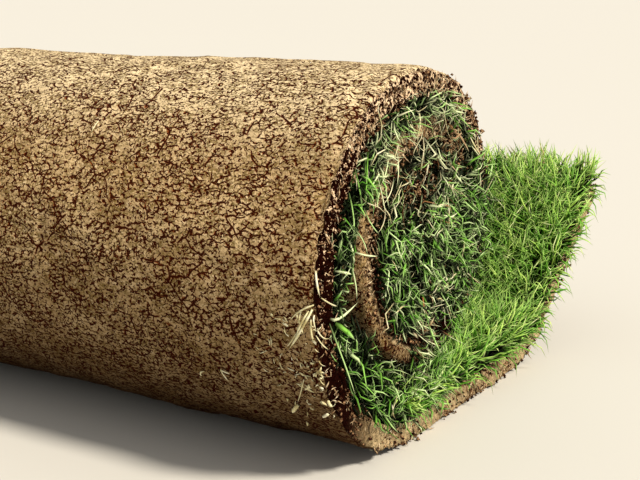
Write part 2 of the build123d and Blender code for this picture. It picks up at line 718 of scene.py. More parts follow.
@dataclass(frozen=True)
class Unevenness:
    """Noise of one size: its waves along the strip and across it or in depth, height and seed."""

    along: float
    across: float
    height: float
    seed: int

    def at(self, s: np.ndarray, across: np.ndarray, shift: np.ndarray | float = 0.0) -> np.ndarray:
        """Its height at places of the strip, read some waves aside, which makes two sides differ."""
        return smooth_noise(s / self.along, across / self.across + shift, self.seed) * self.height


@dataclass(frozen=True)
class Section:
    """The loop round the mat's cross-section, each array a row with one number for a point.

    The outward direction of a point is out_x and out_depth. The counts are of the points on the
    soil side, on a cut face and on the grass side.
    """

    x: np.ndarray
    depth: np.ndarray
    out_x: np.ndarray
    out_depth: np.ndarray
    counts: tuple[int, int, int]


@dataclass
class RootMat:
    """The mat of soil and roots: one closed shell along the whole strip."""

    strip: WoundStrip
    near_turn_step: float = 2.3 * MM
    far_turn_step: float = 2.9 * MM
    tail_step: float = 3.3 * MM
    inner_step: float = 4.5 * MM
    edge_rounding: float = 3.5 * MM
    edge_columns: int = 16
    edge_zone: float = 26 * MM
    middle_columns: int = 110
    cut_rows: int = 9
    set_back: float = 4 * MM
    set_back_zone: tuple[float, float] = (620 * MM, 780 * MM)
    smooth_lip: float = 7.5 * MM
    swells: tuple[Unevenness, ...] = (
        Unevenness(70 * MM, 90 * MM, 1.4 * MM, 11),
        Unevenness(19 * MM, 23 * MM, 0.8 * MM, 12),
        Unevenness(7.5 * MM, 8.5 * MM, 0.5 * MM, 13),
    )
    ridges: Unevenness = Unevenness(14 * MM, 30 * MM, 1.0, 14)
    breaks: Unevenness = Unevenness(40 * MM, 50 * MM, 1.0, 15)
    pocks: Unevenness = Unevenness(8.5 * MM, 8.5 * MM, 1.0, 16)
    coarse_tears: Unevenness = Unevenness(21 * MM, 12 * MM, 1.2 * MM, 21)
    fine_tears: Unevenness = Unevenness(5.2 * MM, 4 * MM, 1.5 * MM, 22)
    crack_depth: float = 1.2 * MM
    pock_depth: float = 1.8 * MM
    bite_depth: float = 1.8 * MM
    pressed_share: float = 0.85
    smooth_rim: float = 45 * MM
    inner_smoothness: float = 2.5
    sliced_caps: float = 0.75

    def stations(self) -> np.ndarray:
        """Chooses where a ring of the shell stands, closer where it shows.

        Returns:
            Places along the strip.
        """
        strip = self.strip
        spans = [
            (-strip.tail, 0.0, self.tail_step),
            (0.0, strip.far_side, self.near_turn_step),
            (strip.far_side, strip.second_turn, self.far_turn_step),
            (strip.second_turn, strip.wound, self.inner_step),
        ]
        parts = [np.linspace(a, b, max(2, round((b - a) / step)), endpoint=False) for a, b, step in spans]
        return np.append(np.concatenate(parts), strip.wound)

    def columns(self) -> np.ndarray:
        """Chooses the columns of the soil side, closer near both cut edges.

        Returns:
            Places across the strip.
        """
        half = self.strip.half - self.edge_rounding
        share = np.linspace(0, 1, self.edge_columns, endpoint=False) ** 1.5
        edge = half - self.edge_zone * share
        middle = np.linspace(-(half - self.edge_zone), half - self.edge_zone, self.middle_columns)
        return np.concatenate([-edge, middle, edge[::-1]])

    def section(self) -> Section:
        """Draws the loop: soil side, rounded edge and cut face, grass side, and the other cut face.

        Returns:
            The section.
        """
        half = self.strip.half
        thick = self.strip.soil
        r = self.edge_rounding

        def points(*rows: np.ndarray | float) -> np.ndarray:
            """Joins x, depth and outward direction of some points, a column for each point."""
            return np.stack(np.broadcast_arrays(*rows))

        soil_x = self.columns()
        grass_x = soil_x[::-1][1:-1:4]
        quarter = np.linspace(0, math.pi / 2, 5)[1:]
        straight = np.linspace(r, thick, self.cut_rows - 3)[1:]
        turn_x, turn_depth = np.sin(quarter), np.cos(quarter)
        rounded = points(half - r + r * turn_x, r - r * turn_depth, turn_x, -turn_depth)
        side = np.concatenate([rounded, points(half, straight, 1.0, 0.0)], 1)
        other_side = side[:, ::-1] * np.array([[-1.0], [1.0], [-1.0], [1.0]])
        soil_side = points(soil_x, 0.0, 0.0, -1.0)
        grass_side = points(grass_x, thick, 0.0, 1.0)
        loop = np.concatenate([soil_side, side, grass_side, other_side], 1)
        return Section(*loop[:, None, :], (len(soil_x), side.shape[1], len(grass_x)))

    def relief(self, s: np.ndarray, loop: Section) -> np.ndarray:
        """How far the surface stands out, from noises of three sizes, cracks, pits and torn edges.

        Args:
            s: Stations, as a column.
            loop: The section.

        Returns:
            Outward displacement of every point of the shell.
        """
        strip = self.strip
        sense = np.sign(loop.x)
        across = loop.x + sense * loop.depth
        soil_side = loop.out_depth < -0.5
        cut_side = np.abs(loop.out_x) >= 0.5
        ridge = np.abs(self.ridges.at(s, across))
        broken = smooth_step(self.breaks.at(s, across), 0.1, 0.4)
        cracks = self.crack_depth * (1 - smooth_step(ridge, 0.0, 0.14)) * broken
        pocks = self.pock_depth * smooth_step(self.pocks.at(s, across), 0.82, 0.97)
        skin = sum(swell.at(s, across) for swell in self.swells) - cracks - pocks
        torn = self.coarse_tears.at(s, loop.depth, sense * 7) + self.fine_tears.at(s, loop.depth, sense * 9)
        bites = self.bite_depth * smooth_step(smooth_noise(s / 0.010, sense * 5.0, 23), 0.45, 0.9)
        edge = torn - bites - self.set_back * smooth_step(s, *self.set_back_zone)
        near_edge = smooth_step(np.abs(loop.x), strip.half - 10 * MM, strip.half)
        crumbled = 1.0 * MM + 1.3 * MM * smooth_noise(s / 0.0058, sense * 3.0, 24)
        out = np.where(soil_side, skin - near_edge * crumbled, 0.0)
        out = np.where(cut_side, edge, out)

        # Its own weight presses the skin flat where it rests on the ground
        resting = smooth_step(s, -strip.tail_flat - 25 * MM, -strip.tail_flat + 5 * MM)
        resting = resting * (1 - smooth_step(s, -5 * MM, 30 * MM))
        return np.where(soil_side, out * (1 - self.pressed_share * resting), out)

    def skin_numbers(self, s: np.ndarray, loop: Section) -> tuple[np.ndarray, ...]:
        """What the finish has to know about each point.

        Args:
            s: Stations, as a column.
            loop: The section.

        Returns:
            How far it is torn (cut), how free of marks the skin is (smooth), how far what is torn
            is sliced clean (sliced), each flat, and its place on the unrolled strip.
        """
        strip = self.strip
        sense = np.sign(loop.x)
        ragged = smooth_noise(s / 0.004, sense * 3.0, 25) * 1.2 * MM
        past = np.abs(loop.x) + loop.depth + ragged - strip.half
        past = past - self.smooth_lip * strip.on_second_turn(s)
        cut = smooth_step(past, -1.0 * MM, 0.8 * MM) * (loop.out_depth < 0.5)
        over_top = plateau(s, 720 * MM, 840 * MM, 30 * MM)
        low_lip = smooth_step(s, 560 * MM, 575 * MM) * (1 - smooth_step(s, 665 * MM, 690 * MM))
        low_lip = low_lip * (1 - smooth_step(loop.depth, 7 * MM, 10 * MM))
        at_foot = 1 - smooth_step(s, 30 * MM, 90 * MM)
        sliced = np.broadcast_to(at_foot + 0.7 * over_top + low_lip, past.shape)
        near_rim = smooth_step(past, -self.smooth_rim, 0.0)
        smooth = np.where(s < strip.second_turn, near_rim, self.inner_smoothness)
        unrolled = np.stack(np.broadcast_arrays(loop.x + sense * loop.depth, s, 0.0), -1)
        return cut.ravel(), smooth.ravel(), sliced.ravel(), unrolled.reshape(-1, 3)

    def build(self) -> bpy.types.Object:
        """Makes the shell: rings of the section along the strip, closed at both ends.

        Returns:
            The mesh object.
        """
        s = self.stations()[:, None]
        loop = self.section()
        out = self.relief(s, loop)
        bitten = smooth_noise(loop.x / 0.007, loop.depth / 0.005, 26) + 1
        bitten = bitten * 1.2 * MM * (1 - smooth_step(s + self.strip.tail, 0.0, 8 * MM))
        x = loop.x + out * loop.out_x
        points = self.strip.place(s + bitten, x, loop.depth + out * loop.out_depth)
        points[..., 2] = np.maximum(points[..., 2], 0.0)
        number, quads = tube_faces(*out.shape)
        tip_points, tip_faces = self.end_cap(points[0], loop.counts, number[0], out.size, -1)
        first = out.size + len(tip_points)
        heart_points, heart_faces = self.end_cap(points[-1], loop.counts, number[-1], first, 1)
        flat = np.concatenate([points.reshape(-1, 3), tip_points, heart_points])
        thing = make_mesh("root_mat_soil", flat, quads, np.concatenate([tip_faces, heart_faces]))

        # The two end caps are torn, and mostly sliced clean
        caps = np.ones(len(flat) - out.size)
        cut, smooth, sliced, unrolled = self.skin_numbers(s, loop)
        set_attributes(
            thing,
            cut=np.append(cut, caps),
            smooth=np.append(smooth, caps),
            sliced=np.append(sliced, self.sliced_caps * caps),
            unrolled=np.concatenate([unrolled, flat[out.size :]]),
        )
        return thing

    def end_cap(
        self, ring: np.ndarray, counts: tuple[int, int, int], numbers: np.ndarray, first: int, sense: int
    ) -> tuple[np.ndarray, np.ndarray]:
        """Closes an end: rows from side to side, each at the depth of one pair of side points.

        Args:
            ring: Points of the end ring.
            counts: Points on the soil side, on a cut face and on the grass side.
            numbers: Vertex numbers of the ring.
            first: Number of the first new vertex.
            sense: 1 at the heart and -1 at the tip, which turns the faces outwards.

        Returns:
            The new points, and the triangles.
        """
        soil, side, grass = counts
        bounds = np.cumsum(counts)
        soil_row, right, grass_row, left = np.split(numbers, bounds)
        soil_points, _, grass_points, _ = np.split(ring, bounds)
        grass_row, left, grass_points = grass_row[::-1], left[::-1], grass_points[::-1]
        along = np.linspace(0, 1, soil)
        coarse = np.linspace(0, 1, grass)
        opposite = np.stack([np.interp(along, coarse, grass_points[:, i]) for i in range(3)], -1)
        new_points = []
        rows = [soil_row]
        for k in range(side - 1):
            level = (k + 1) / side
            new_points.append((soil_points * (1 - level) + opposite * level)[1:-1])
            new = first + k * (soil - 2) + np.arange(soil - 2)
            rows.append(np.concatenate([[left[k]], new, [right[k]]]))
        last = np.concatenate([[left[side - 1]], grass_row, [right[side - 1]]])
        triangles = []
        for upper, lower in zip(rows[:-1], rows[1:]):
            triangles.append(np.stack([upper[:-1], upper[1:], lower[1:]], -1))
            triangles.append(np.stack([upper[:-1], lower[1:], lower[:-1]], -1))
        triangles.append(self.zip_rows(rows[-1], last))
        faces = np.concatenate(triangles)
        return np.concatenate(new_points), faces if sense > 0 else faces[:, ::-1]

    @staticmethod
    def zip_rows(fine: np.ndarray, coarse: np.ndarray) -> np.ndarray:
        """Joins a row of many points to a row of few: each fine span fans to its nearest coarse point.

        Args:
            fine: Vertex numbers of the finer row.
            coarse: Vertex numbers of the coarser row.

        Returns:
            The triangles between the rows.
        """
        nearest = np.round(np.linspace(0, len(coarse) - 1, len(fine))).astype(int)
        fans = np.stack([fine[:-1], fine[1:], coarse[nearest[1:]]], -1)
        steps = np.flatnonzero(np.diff(nearest))
        spans = np.stack([fine[steps], coarse[nearest[steps + 1]], coarse[nearest[steps]]], -1)
        return np.concatenate([fans, spans])


# Blades, roots and straws


@dataclass
class Strands:
    """Many thin curved strands of one kind, gathered as arrays and made as one mesh.

    A strand's middle line is a circular arc that turns from its growth direction towards its lean
    direction by the bend angle, with a sideways wave of one period. Its section is a triangle:
    flat for a blade, with a keel at its back, and round enough for a root.
    """

    roots: np.ndarray
    growth: np.ndarray
    lean: np.ndarray
    length: np.ndarray
    bend: np.ndarray
    width: np.ndarray
    tint: np.ndarray
    wave: np.ndarray
    keel: float = 0.5
    steps: tuple[float, ...] = (0.0, 0.34, 0.68, 1.0)
    taper: tuple[float, ...] = (0.75, 1.0, 0.7)

    def middle_lines(self) -> np.ndarray:
        """Adds the arc of the bend and the wave.

        Returns:
            Points along every strand, strands by steps by 3.
        """
        steps = np.array(self.steps)
        angle = self.bend[:, None] * steps
        safe = np.maximum(self.bend[:, None], 1e-3)
        up = self.length[:, None] * np.sin(angle) / safe
        out = self.length[:, None] * (1 - np.cos(angle)) / safe
        sway = (self.wave * self.length)[:, None] * np.sin(2 * np.pi * steps)
        side = np.cross(self.growth, self.lean)
        return (
            self.roots[:, None, :]
            + up[..., None] * self.growth[:, None, :]
            + out[..., None] * self.lean[:, None, :]
            + sway[..., None] * side[:, None, :]
        )

    def build(self, name: str, lines: np.ndarray, open_air: np.ndarray | float = 1.0) -> bpy.types.Object:
        """Makes the mesh round the middle lines, closed at the root and pointed at the tip.

        Args:
            name: Name of the object.
            lines: Middle lines, as middle_lines gives them, or pressed and drooped since.
            open_air: 0 for painted shade deep among other strands and 1 out in the open, at each point of
                the lines.

        Returns:
            The mesh object, with the numbers along, tint and open_air per vertex.
        """
        count, rings = lines.shape[0], lines.shape[1] - 1
        ahead = unit(np.gradient(lines, axis=1))[:, :rings]
        side = square_to(ahead, unit(np.cross(self.growth, self.lean))[:, None, :])
        back = np.cross(side, ahead)
        half = (self.width[:, None] * np.array(self.taper) / 2)[..., None]
        body = lines[:, :rings]
        edges = [body - side * half, body + side * half, body + back * half * 2 * self.keel]
        corners = np.stack(edges, 2).reshape(count, rings * 3, 3)
        points = np.concatenate([corners, lines[:, rings:]], 1)
        tip = rings * 3
        faces = [(0, 2, 1)]
        for ring in range(0, tip, 3):
            for a, b in ((0, 1), (1, 2), (2, 0)):
                if ring + 3 < tip:
                    faces.append((ring + a, ring + b, ring + 3 + b))
                    faces.append((ring + a, ring + 3 + b, ring + 3 + a))
                else:
                    faces.append((ring + a, ring + b, tip))
        each = tip + 1
        triangles = (np.arange(count)[:, None, None] * each + np.array(faces)[None]).reshape(-1, 3)
        thing = make_mesh(name, points.reshape(-1, 3), triangles=triangles)
        along = np.append(np.repeat(np.array(self.steps)[:rings], 3), self.steps[-1])
        open_air = np.broadcast_to(open_air, lines.shape[:2])
        body_painted_light = np.repeat(open_air[:, :rings], 3, axis=1)
        set_attributes(
            thing,
            along=np.tile(along, count),
            tint=np.repeat(self.tint, each),
            open_air=np.concatenate([body_painted_light, open_air[:, rings:]], 1).ravel(),
        )
        return thing


@dataclass(frozen=True)
class LooseStrand:
    """A listed strand, as a smooth curve through three places.

    Each place is millimetres along the strip, in depth, and out from the near cut. The width is in
    millimetres too, and the tint is as in GrassBlade.
    """

    first: tuple[float, float, float]
    middle: tuple[float, float, float]
    last: tuple[float, float, float]
    width: float
    tint: float = 0.5

    @classmethod
    def table(cls, *rows: tuple) -> tuple[LooseStrand, ...]:
        """Strands from rows that hold the fields in their order."""
        return tuple(cls(*row) for row in rows)


# Larger leaves over the near cut end, where the photograph shows them
LEAVES = LooseStrand.table(
    ((148.6, 8, 3), (145.5, 18, 3), (147.5, 36, 2), 1.6, 0.64),
    ((144.4, 12, 3), (135.2, 20, 4), (123.6, 27, 3), 2.6, 0.30),
    ((172.9, 11, 3), (171.5, 20, 4), (169.6, 27, 3), 1.2, 0.66),
    ((177.2, 25, 3), (163.0, 31, 3), (148.8, 34, 2), 1.2, 0.58),
    ((146.4, 7, 3), (120.0, 12, 5), (93.5, 12, 5), 1.1, 0.45),
    ((190.0, 22, 2), (184.0, 26, 3), (176.0, 28, 3), 1.8, 0.62),
    ((215.0, 12, 2), (203.0, 19, 4), (192.0, 24, 3), 1.3, 0.40),
    ((228.0, 10, 2), (217.0, 20, 4), (208.0, 27, 3), 1.2, 0.35),
    ((243.0, 14, 2), (228.0, 20, 4), (214.0, 29, 3), 1.2, 0.30),
    ((184.5, 25, 3), (183.0, 37, 5), (184.0, 48, 5), 0.9, 0.66),
    ((240.0, 26, 3), (231.0, 36, 5), (220.0, 47, 5), 1.0, 0.72),
    ((262.0, 25, 3), (248.0, 30, 5), (235.0, 33, 4), 1.1, 0.62),
    ((254.0, 40, 4), (240.0, 42, 5), (226.0, 41, 4), 1.0, 0.80),
    ((246.0, 31, 4), (236.0, 39, 5), (229.0, 47, 5), 0.8, 0.58),
    ((214.0, 27, 3), (206.0, 35, 5), (203.0, 45, 5), 0.8, 0.45),
    ((228.0, 44, 4), (215.0, 46, 5), (202.0, 44, 4), 0.9, 0.88),
    ((270.0, 30, 3), (262.0, 38, 5), (250.0, 45, 5), 1.0, 0.70),
    ((198.0, 24, 3), (192.0, 31, 5), (183.0, 37, 5), 0.8, 0.50),
)

# Torn runners and roots that stick to the skin beside the near rim
RUNNERS = LooseStrand.table(
    ((173.2, -1, 0), (167.5, -1.5, 1.5), (161.2, 0, 2.5), 1.2),
    ((161.0, 1, 2.5), (157.0, 7, 4), (154.0, 13, 4), 1.0),
    ((157.5, -0.5, -0.5), (154.0, -2.5, -7), (148.5, -2, -13), 1.0),
    ((155.5, -1, -1), (144.5, -3.5, -6.8), (133.5, -1.5, -15.5), 1.4),
    ((154.5, -1, -3), (148.0, -4, -6), (141.0, -2, -10), 1.1),
    ((150.5, -1, -2), (145.2, -2.5, -1.2), (140.2, -1.5, -1.2), 1.2),
    ((153.0, -1, 0), (150.0, -2, 0.2), (145.5, -1, 0.8), 0.9),
    ((142.2, -0.8, -10.5), (138.0, -1.5, -13.5), (134.2, -0.8, -16.8), 0.8),
    ((153.5, -1.5, -7), (149.2, -2.2, -7.5), (146.8, -1, -6.8), 1.0),
    ((145.5, -0.5, 1), (141.0, 2, 2.5), (139.0, 7, 3), 0.9),
    ((143.0, -0.5, 0), (138.0, 1, 2), (133.0, 5, 3), 0.8),
    ((117.2, -0.8, -10.8), (108.0, -1.2, -15), (99.0, -0.8, -20), 0.6),
    ((97.0, -0.6, -20.5), (93.0, -1.5, -24), (88.5, -0.6, -27), 2.3),
    ((106.0, -0.6, -0.5), (104.0, -1.2, 0), (101.8, -0.6, 1), 2.0),
    ((95.0, -0.6, -4), (93.0, -1.2, -6.5), (91.0, -0.6, -9), 1.8),
    ((111.5, -0.6, -61.5), (108.0, -1, -60), (104.0, -0.6, -59), 0.8),
    ((111.5, -0.6, -61.5), (111.0, -1, -58), (110.0, -0.6, -56), 0.9),
    ((104.0, -0.6, -76), (107.0, -1.2, -75), (108.0, -0.6, -72), 0.9),
    ((236.0, -0.6, -152.5), (232.0, -1, -152.8), (228.0, -0.6, -153), 0.8),
)


class Facing(Enum):
    """Which way a listed strand shows its flat side."""

    OUT_OF_CUT = "out of the near cut"
    OFF_SKIN = "off the soil side"


class End(Enum):
    """The two cut ends of the roll, by the sense of x."""

    NEAR = 1
    FAR = -1

    def piece(self, kind: str) -> str:
        """Name of the piece of one kind at this end."""
        return f"{kind}_{self.name.lower()}_end"

    def random(self, seed: int) -> np.random.Generator:
        """Random numbers for this end: from the seed at the near end, from the next at the far one."""
        return np.random.default_rng(seed + int(self is End.FAR))


@dataclass
class Sward:
    """The grass: a bed of thatch on the mat and the blades on it."""

    strip: WoundStrip
    bed_step: float = 4.5 * MM
    bed_edge_columns: int = 12
    bed_middle_columns: int = 22
    bed_behind_tip: float = 6 * MM
    thatch: float = 9 * MM
    roughness: float = 1.2 * MM
    end_recess: float = 3 * MM
    slope_back: float = 30 * MM
    hollow_back: float = 75 * MM
    overhang: float = 19 * MM
    droop_radius: float = 45 * MM
    overlap: float = 0.5 * MM
    open_blades: int = 11500
    near_blades: int = 11500
    far_blades: int = 6000
    blade_width: float = 1.5 * MM
    in_front_share: float = 0.62
    broad_share: float = 0.12
    broad_by: float = 1.6
    clump: float = 14 * MM

    def looseness(self, s: np.ndarray) -> np.ndarray:
        """1 where the next turn has sprung away from the grass of the outer one, low on its side."""
        return plateau(s, 130 * MM, 160 * MM, 16 * MM)

    def hugging(self, s: np.ndarray) -> np.ndarray:
        """1 where the grass lies back from the next turn, so that the soil of that turn shows."""
        return plateau(s, 115 * MM, 205 * MM, 30 * MM)

    def dryness(self, s: np.ndarray) -> np.ndarray:
        """How far soil and thatch show more than green: over the inner turns and at their foot.

        Args:
            s: Places along the strip.

        Returns:
            0 where it is green, and up to 1.
        """
        over_top = plateau(s, 715 * MM, 835 * MM, 30 * MM)
        over_heart = plateau(s, 985 * MM, self.strip.wound, 20 * MM)
        return np.maximum(np.maximum(over_top, over_heart), 0.8 * plateau(s, 545 * MM, 590 * MM, 15 * MM))

    def inner(self, s: np.ndarray) -> np.ndarray:
        """1 where the grass of the cut end grows over the soil: in the inner turns and low behind."""
        innermost = smooth_step(s, self.strip.inner_turns - 40 * MM, self.strip.inner_turns)
        return np.maximum(innermost, 0.75 * plateau(s, 440 * MM, 578 * MM, 26 * MM))

    def at_foot(self, s: np.ndarray) -> np.ndarray:
        """1 where the strip lies flat under the roll, and the grass is thick and reaches far up."""
        return 1 - smooth_step(s, -5 * MM, 25 * MM)

    def bed_height(self, s: np.ndarray, x: np.ndarray) -> np.ndarray:
        """Height of the thatch: low in the open, and near an end; the whole room farther in.

        Args:
            s: Along the strip.
            x: Across the strip.

        Returns:
            Height over the mat.
        """
        room = self.strip.gap(s)
        inside = smooth_step(s, -25 * MM, 15 * MM)
        low = self.thatch * (1 + 0.3 * smooth_noise(s / 0.02, x / 0.02, 31))
        low = low * (0.2 + 0.8 * smooth_step(s + self.strip.tail, 0.0, 25 * MM))
        inset = self.strip.half - np.abs(x)
        reach = self.slope_back + (self.hollow_back - self.slope_back) * self.looseness(s)
        start = self.end_recess + 0.45 * (reach - self.slope_back)
        behind_end = smooth_step((inset - start) / (reach - start), 0.0, 1.0)
        full = np.maximum(room - 1.0 * MM, 2 * MM)
        wound = np.minimum(low, full) * (1 - behind_end) + full * behind_end
        return low * (1 - inside) + wound * inside

    def build_bed(self) -> bpy.types.Object:
        """Makes the bed: rings of a box section along the strip, with a sloping end and rough skin.

        Returns:
            The mesh object.
        """
        strip = self.strip
        s = np.arange(-strip.tail + self.bed_behind_tip, strip.wound, self.bed_step)[:, None]
        half = strip.half - self.end_recess
        fine_from = 0.84
        edge = np.linspace(1.0, fine_from, self.bed_edge_columns, endpoint=False)
        middle = np.linspace(-fine_from, fine_from, self.bed_middle_columns)
        across = np.concatenate([-edge, middle, edge[::-1]])[None, :]
        rows = np.linspace(0, 1, 5)[1:-1]
        columns, side_rows = across.size, rows.size
        top_x = across * half * np.ones_like(s)
        height = self.bed_height(*np.broadcast_arrays(s, top_x))
        rough = smooth_noise(s / 0.004, top_x / 0.0045, 32) * self.roughness
        height = height + np.where(height < self.thatch * 1.5, rough, 0.0)
        side_x = half + smooth_noise(s / 0.006, rows[None, :] * 2, 33) * self.roughness
        side_depth = height[:, -1:] * rows[None, :]
        other_depth = height[:, :1] * rows[None, ::-1]
        x = np.concatenate([top_x, side_x, top_x[:, ::-1], -side_x[:, ::-1]], 1)
        depth = np.concatenate([np.zeros_like(top_x), side_depth, height[:, ::-1], other_depth], 1)
        points = strip.place(s, x, strip.soil - self.overlap + depth)
        number, quads = tube_faces(*x.shape)
        all_quads = [quads]
        all_triangles = []
        for ring, turn in ((number[0], -1), (number[-1], 1)):
            low, right, high, left = np.split(ring, np.cumsum([columns, side_rows, columns]))
            high, left = high[::-1], left[::-1]
            up_right, up_left = np.append(low[-1], right), np.append(low[0], left)
            right_fan = np.stack([up_right[:-1], up_right[1:], np.full(side_rows, high[-1])], -1)
            left_fan = np.stack([up_left[1:], up_left[:-1], np.full(side_rows, high[0])], -1)
            all_quads.append(np.stack([low[:-1], low[1:], high[1:], high[:-1]], -1)[:, ::turn])
            all_triangles.append(np.concatenate([right_fan, left_fan])[:, ::turn])
        quads, triangles = np.concatenate(all_quads), np.concatenate(all_triangles)
        return make_mesh("grass_bed", points.reshape(-1, 3), quads, triangles)

    def hold_back(self, lines: np.ndarray) -> np.ndarray:
        """Keeps strands from standing out too far over a cut end, and lets their tips droop.

        Past the cut, the way out is bent by the curve of tanh, and a point sinks by the square of
        how far out it is.

        Args:
            lines: Middle lines of strands.

        Returns:
            The lines, bent.
        """
        lines = lines.copy()
        out = np.maximum(np.abs(lines[..., 0]) - self.strip.half, 0.0)
        held = self.overhang * np.tanh(out / self.overhang)
        lines[..., 0] -= np.sign(lines[..., 0]) * (out - held)
        lines[..., 2] -= held**2 / self.droop_radius
        lines[..., 2] = np.maximum(lines[..., 2], 1.0 * MM)
        return lines

    def build_open_end(
        self, name: str, seed: int, inner: float, outer: float, crowding: float
    ) -> bpy.types.Object:
        """Makes the blades on a part of the open end, which lean out over its cut edges.

        Args:
            name: Name of the object.
            seed: Seed of its random numbers.
            inner: Where that part starts, across the strip.
            outer: Where it ends.
            crowding: Share by which the blades are closer at its end, and wider apart at its start.

        Returns:
            The mesh object.
        """
        strip = self.strip
        rng = np.random.default_rng(seed)
        count = self.open_blades
        s = -strip.tail + (strip.tail + 28 * MM) * rng.uniform(0, 1, count) ** 1.05
        share = rng.uniform(0, 1, (2, count))
        crowded = rng.uniform(0, 1, count) < crowding
        x = inner + (outer - inner) * np.where(crowded, share.max(0), share[0])
        across, ahead, inward = strip.axes(s)
        roots = strip.place(s, x, strip.soil + 2 * MM)
        inset = strip.half - np.abs(x)
        edge = np.sign(x) * (1 - smooth_step(inset, 0.0, 20 * MM))
        at_tip = 1 - smooth_step(s + strip.tail, 0.0, 22 * MM)
        swirl = smooth_noise(s / self.clump, x / self.clump, seed + 1) * 2.2 * np.pi
        heading = swirl + rng.normal(0, 1.1, count)
        flat = turned_from(across, ahead, heading)
        tilt = rng.uniform(0.05, 0.5, (count, 1))
        spill = edge[:, None] * across * rng.uniform(0.1, 1.1, (count, 1))
        spill = spill - at_tip[:, None] * ahead * rng.uniform(0.0, 1.3, (count, 1))
        upright = inward * 0.75 + np.array([0.0, 0.0, 0.35])
        growth = unit(upright + tilt * flat + spill)
        pull = flat + 0.6 * spill + rng.normal(0, 0.25, (count, 3))
        patch = smooth_noise(s / 0.045, x / 0.045, seed + 2)
        strands = Strands(
            roots=roots,
            growth=growth,
            lean=square_to(growth, pull),
            length=(rng.uniform(24, 37, count) + 4 * patch) * (1 - 0.25 * at_tip) * MM,
            bend=rng.uniform(0.3, 1.7, count),
            width=self.blade_width * rng.uniform(0.65, 1.2, count),
            # Blades at the tip get paler tints, as painted light
            tint=np.clip(rng.beta(1.0, 1.6, count) * 0.80 + 0.08 * patch + 0.03 + 0.2 * at_tip, 0, 1),
            wave=rng.normal(0, 0.03, count),
        )
        lines = self.hold_back(strands.middle_lines())
        # Painted light and shade: dark among the blades, lighter where a blade reaches out, over a cut edge
        # or past the tip, and darker at random
        reach = np.linalg.norm(lines - roots[:, None, :], axis=-1)
        past = np.abs(lines[..., 0]) - strip.half
        beyond = dot(roots[:, None, :] - lines, ahead[:, None, :])[..., 0] - (s + strip.tail)[:, None]
        open_air = np.maximum(smooth_step(reach, 4 * MM, 21 * MM), smooth_step(past, 0 * MM, 12 * MM))
        open_air = np.maximum(open_air, smooth_step(beyond, -8 * MM, 2 * MM))
        open_air = open_air * (0.40 + 0.60 * rng.beta(1.7, 0.55, (count, 1)))
        return strands.build(name, lines, open_air)

    def build_cut(self, end: End) -> bpy.types.Object:
        """Makes the tangled blades of one cut end of the roll.

        Blades root on the sloping end of the bed. Over a distance of one clump they lean the same
        way. Under the next turn they are pressed flat, and out in front of it they may lie over it.
        In the inner turns, many bend back over the cut of their own turn and hide it.

        Args:
            end: Which end.

        Returns:
            The mesh object.
        """
        strip = self.strip
        sense = end.value
        rng = end.random(51)
        count = self.near_blades if end is End.NEAR else self.far_blades

        # More places than are needed are drawn, and a place stays by how thick the grass is there
        tries = count * 6
        s = rng.uniform(-30 * MM, strip.wound, tries)
        density = (strip.gap(s) + 7 * MM) * (1 - 0.66 * self.dryness(s)) * (1 - 0.3 * self.looseness(s))
        density = density * (1 + 0.9 * self.inner(s)) * (1 + 0.6 * self.at_foot(s))
        s = s[rng.uniform(0, 2.2 * strip.grass, tries) < density][:count]
        count = len(s)
        room = strip.gap(s)
        loose = self.looseness(s)
        dry = self.dryness(s)
        inner = self.inner(s)
        at_foot = self.at_foot(s)
        hugging = self.hugging(s)

        # Where it roots: how far up in the room over the mat, and how far in from the cut
        level = rng.uniform(0, 1, count) * (1 - 0.75 * loose)
        over = rng.uniform(0, 1, count) < self.in_front_share
        turned = 0.14 + 0.37 * strip.on_second_turn(s) + 0.4 * inner
        backwards = rng.uniform(0, 1, count) < turned * (1 - 0.7 * dry)
        inset = self.end_recess + level * self.slope_back * 0.55 + rng.uniform(-1, 2, count) * MM
        inset = np.where(over | backwards, rng.uniform(-2, 4, count) * MM, inset)
        x = sense * (strip.half - inset)
        on_soil = backwards & (rng.uniform(0, 1, count) < 0.6 * inner)
        depth = np.where(on_soil, -rng.uniform(0, 12, count) * MM, level * room * 0.85)
        roots = strip.place(s, x, strip.soil + depth)

        # Where it points, and where it bends to
        across, ahead, inward = strip.axes(s)
        outside = across * sense
        swirl = smooth_noise(s / self.clump, level * 1.5, 53 + end.value) * 2.4
        heading = swirl + rng.normal(0, 1.0, count)
        along = np.sin(heading)[:, None] * ahead
        upwards = np.where(backwards, -0.8, 0.9) * np.where((level > 0.5) & ~over, 0.5, 1.0)
        rise = upwards[:, None] * np.abs(np.cos(heading))[:, None] * inward
        stand_out = np.where(over, rng.uniform(0.0, 0.45, count), rng.uniform(0.15, 0.8, count))[:, None]
        growth = unit(rise * 0.8 + along + outside * stand_out)
        pull = rise * rng.normal(0.3, 0.9, (count, 1)) + along * rng.normal(0.3, 0.9, (count, 1))
        pull = pull + rng.normal(0, 0.6, (count, 3)) - 0.35 * outside
        broad = np.where(rng.uniform(0, 1, count) < self.broad_share, self.broad_by, 1.0)
        patch = smooth_noise(s / 0.026, level * 0.8, 55)
        lit_over_edge = plateau(s, 245 * MM, 395 * MM, 35 * MM)
